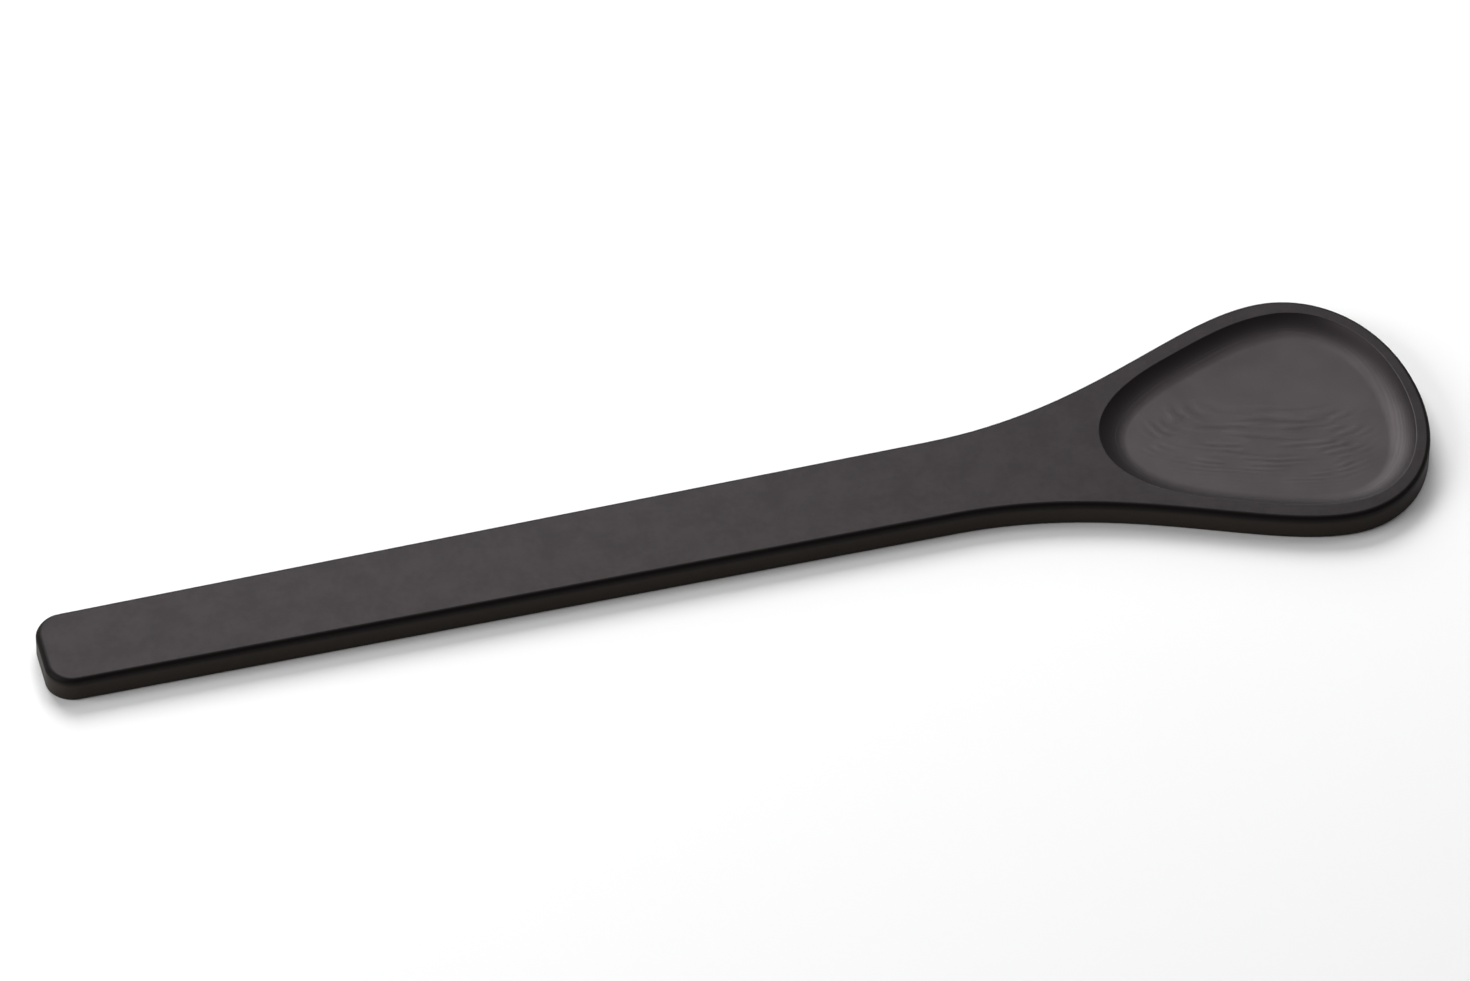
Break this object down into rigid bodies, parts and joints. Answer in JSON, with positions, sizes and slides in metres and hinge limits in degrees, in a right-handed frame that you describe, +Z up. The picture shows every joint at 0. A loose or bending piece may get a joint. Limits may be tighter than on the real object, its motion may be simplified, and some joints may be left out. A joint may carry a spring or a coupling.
{
  "type": "cooking spoon",
  "caption": "Flat cooking spoon of laminated fibre board, with a tapered handle, a broad rounded head and a shallow milled bowl for stirring and scooping.",
  "frame": {"origin": "middle of the spoon's length and width, on the plane of its underside", "axes": "+X along the spoon from the handle's end to the bowl's tip, +Y across it, +Z up out of the bowl"},
  "size_m": [0.33, 0.0746, 0.0063],
  "materials": {
    "face_sheet": "matte",
    "core_sheet": "matte"
  },
  "bodies": {
    "root": {"bottom_face_sheet": "face_sheet", "core_sheet_02": "core_sheet", "core_sheet_03": "core_sheet", "core_sheet_04": "core_sheet", "core_sheet_05": "core_sheet", "core_sheet_06": "core_sheet", "core_sheet_07": "core_sheet", "core_sheet_08": "core_sheet", "core_sheet_09": "core_sheet", "core_sheet_10": "core_sheet", "core_sheet_11": "core_sheet", "core_sheet_12": "core_sheet", "core_sheet_13": "core_sheet", "core_sheet_14": "core_sheet", "core_sheet_15": "core_sheet", "core_sheet_16": "core_sheet", "core_sheet_17": "core_sheet", "core_sheet_18": "core_sheet", "core_sheet_19": "core_sheet", "top_face_sheet": "face_sheet"}
  },
  "joints": []
}
